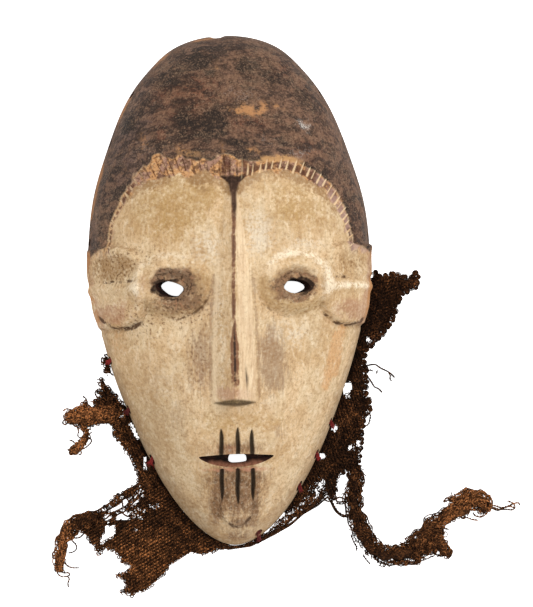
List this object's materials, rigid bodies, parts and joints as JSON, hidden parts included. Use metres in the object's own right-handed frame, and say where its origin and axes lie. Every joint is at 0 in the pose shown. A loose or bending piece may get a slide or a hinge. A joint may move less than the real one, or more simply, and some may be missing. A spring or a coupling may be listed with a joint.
{
  "type": "lega mask",
  "caption": "Carved wooden face mask: dark cap, pale heart-shaped face, long nose, pierced eyes, slit mouth, and a ragged netting beard sewn to its rim with red thread.",
  "frame": {"origin": "centre of the whole object's bounding box, on the flat surface that the mask's rim rests on", "axes": "+Z comes out of the face, +Y points to the crown of the head, +X to the right of the face as seen"},
  "size_m": [0.246, 0.2954, 0.06],
  "materials": {
    "carved_wood": "hand carved, pale chalky face worn to the grain, dark brown rubbed cap",
    "netting": "looped plant fibre netting, dark brown, dry and frayed",
    "red_thread": "matt red sewing thread"
  },
  "bodies": {
    "root": {"mask": "carved_wood", "beard_net": "netting", "net_scrap": "netting", "thread_stitch_left_1": "red_thread", "thread_stitch_left_2": "red_thread", "thread_stitch_left_3": "red_thread", "thread_stitch_right_1": "red_thread", "thread_stitch_right_2": "red_thread", "thread_stitch_right_3": "red_thread", "thread_stitch_chin": "red_thread"}
  },
  "joints": []
}
